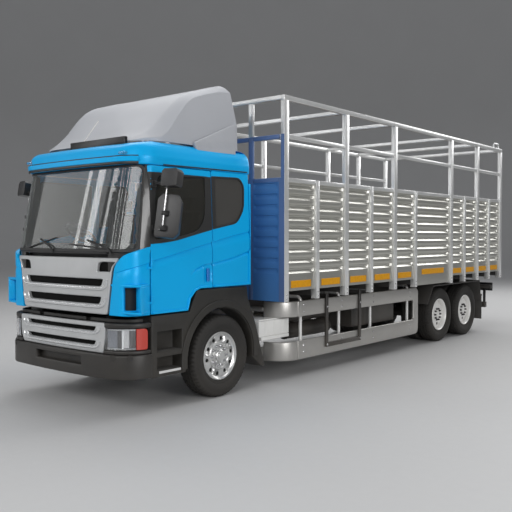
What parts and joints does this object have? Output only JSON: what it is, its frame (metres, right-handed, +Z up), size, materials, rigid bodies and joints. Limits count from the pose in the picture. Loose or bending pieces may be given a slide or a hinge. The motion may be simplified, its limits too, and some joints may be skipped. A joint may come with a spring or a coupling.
{
  "type": "three-axle cargo truck",
  "caption": "Three-axle rigid truck with a tilting cab-over cab, roof deflector, ladder chassis, side guards and an open-top rack body with ribbed walls, tall posts and rear doors.",
  "frame": {"origin": "middle of the bounding box on the ground", "axes": "+Z up, the front of the truck faces -Y, +X is the vehicle's left side"},
  "size_m": [3.1654, 10.53, 4.0263],
  "materials": {
    "blue_paint": "gloss",
    "dark_blue_paint": "gloss",
    "black_steel": "satin",
    "cast": "rough",
    "silver_sheet": "satin",
    "bright_tube": "satin",
    "guard_metal": "satin",
    "dark_plastic": "grained",
    "grille_silver": "gloss",
    "lamp": "clear",
    "red_lamp": "gloss",
    "white_plastic": "gloss",
    "deflector_paint": "gloss",
    "glass": "tinted",
    "dark_panel": "gloss",
    "seat_cloth": "woven",
    "tyre": "matt",
    "alloy": "polished",
    "tank_metal": "satin",
    "deck_plank": "worn"
  },
  "bodies": {
    "chassis": {"chassis_frame": "black_steel", "engine_block": "cast", "front_axle": "cast", "rear_axles": "cast", "leaf_springs": "black_steel", "fuel_tank": "tank_metal", "battery_box": "white_plastic", "air_tanks": "black_steel", "front_bumper": "dark_plastic", "lower_grille": "grille_silver", "headlamps": "lamp", "front_mudguards": "dark_plastic", "rear_mudguards": "dark_plastic", "side_guards": "guard_metal", "guard_tubes": "bright_tube", "step_frames": "black_steel", "load_deck": "deck_plank", "front_wall": "dark_blue_paint", "wall_panels": "silver_sheet", "wall_posts": "silver_sheet", "rack_rails": "bright_tube", "rear_bumper": "black_steel", "tail_lamps": "red_lamp"},
    "cab": {"cab_floor": "dark_plastic", "cab_front": "dark_plastic", "cab_corners": "blue_paint", "cab_pillars": "dark_plastic", "cab_sides": "blue_paint", "cab_back_wall": "blue_paint", "cab_roof": "blue_paint", "windscreen": "glass", "quarter_windows": "dark_panel", "roof_deflector": "deflector_paint", "dashboard": "dark_plastic", "seats": "seat_cloth"},
    "grille_lid": {"grille_lid": "grille_silver"},
    "door_left": {"door_left": "blue_paint", "door_glass_left": "glass", "mirrors_left": "dark_plastic"},
    "door_right": {"door_right": "blue_paint", "door_glass_right": "glass", "mirrors_right": "dark_plastic"},
    "knuckle_left": {"knuckle_left": "cast"},
    "knuckle_right": {"knuckle_right": "cast"},
    "wheel_front_left": {"tyre_front_left": "tyre", "rim_front_left": "alloy"},
    "wheel_front_right": {"tyre_front_right": "tyre", "rim_front_right": "alloy"},
    "wheels_mid_left": {"tyres_mid_left": "tyre", "rims_mid_left": "alloy"},
    "wheels_mid_right": {"tyres_mid_right": "tyre", "rims_mid_right": "alloy"},
    "wheels_rear_left": {"tyres_rear_left": "tyre", "rims_rear_left": "alloy"},
    "wheels_rear_right": {"tyres_rear_right": "tyre", "rims_rear_right": "alloy"},
    "rear_door_left": {"rear_door_left": "silver_sheet"},
    "rear_door_right": {"rear_door_right": "silver_sheet"}
  },
  "joints": [
    {"name": "cab_tilt", "type": "hinge", "parent": "chassis", "child": "cab", "pos_m": [0, -5.045, 0.85], "axis": [1, 0, 0], "range_deg": [0, 60]},
    {"name": "grille_lid_lift", "type": "hinge", "parent": "cab", "child": "grille_lid", "pos_m": [0, -5.167, 1.788], "axis": [-1, 0, 0], "range_deg": [0, 85]},
    {"name": "door_left_swing", "type": "hinge", "parent": "cab", "child": "door_left", "pos_m": [1.212, -4.831, 1.53], "axis": [0, 0, -1], "range_deg": [0, 75]},
    {"name": "door_right_swing", "type": "hinge", "parent": "cab", "child": "door_right", "pos_m": [-1.212, -4.831, 1.53], "axis": [0, 0, 1], "range_deg": [0, 75]},
    {"name": "steer_left", "type": "hinge", "parent": "chassis", "child": "knuckle_left", "pos_m": [0.955, -3.645, 0.522], "axis": [0, 0, 1], "range_deg": [-35, 35]},
    {"name": "steer_right", "type": "hinge", "parent": "chassis", "child": "knuckle_right", "pos_m": [-0.955, -3.645, 0.522], "axis": [0, 0, 1], "range_deg": [-35, 35]},
    {"name": "front_left_spin", "type": "hinge", "parent": "knuckle_left", "child": "wheel_front_left", "pos_m": [1.075, -3.645, 0.522], "axis": [1, 0, 0], "continuous": true},
    {"name": "front_right_spin", "type": "hinge", "parent": "knuckle_right", "child": "wheel_front_right", "pos_m": [-1.075, -3.645, 0.522], "axis": [1, 0, 0], "continuous": true},
    {"name": "mid_left_spin", "type": "hinge", "parent": "chassis", "child": "wheels_mid_left", "pos_m": [0.905, 2.705, 0.522], "axis": [1, 0, 0], "continuous": true},
    {"name": "mid_right_spin", "type": "hinge", "parent": "chassis", "child": "wheels_mid_right", "pos_m": [-0.905, 2.705, 0.522], "axis": [1, 0, 0], "continuous": true},
    {"name": "rear_left_spin", "type": "hinge", "parent": "chassis", "child": "wheels_rear_left", "pos_m": [0.905, 3.905, 0.522], "axis": [1, 0, 0], "continuous": true},
    {"name": "rear_right_spin", "type": "hinge", "parent": "chassis", "child": "wheels_rear_right", "pos_m": [-0.905, 3.905, 0.522], "axis": [1, 0, 0], "continuous": true},
    {"name": "rear_door_left_swing", "type": "hinge", "parent": "chassis", "child": "rear_door_left", "pos_m": [1.385, 5.245, 2.08], "axis": [0, 0, -1], "range_deg": [0, 170]},
    {"name": "rear_door_right_swing", "type": "hinge", "parent": "chassis", "child": "rear_door_right", "pos_m": [-1.385, 5.245, 2.08], "axis": [0, 0, 1], "range_deg": [0, 170]}
  ],
  "couplings": [
    {"joint": "steer_right", "follows": "steer_left", "ratio": 1}
  ]
}
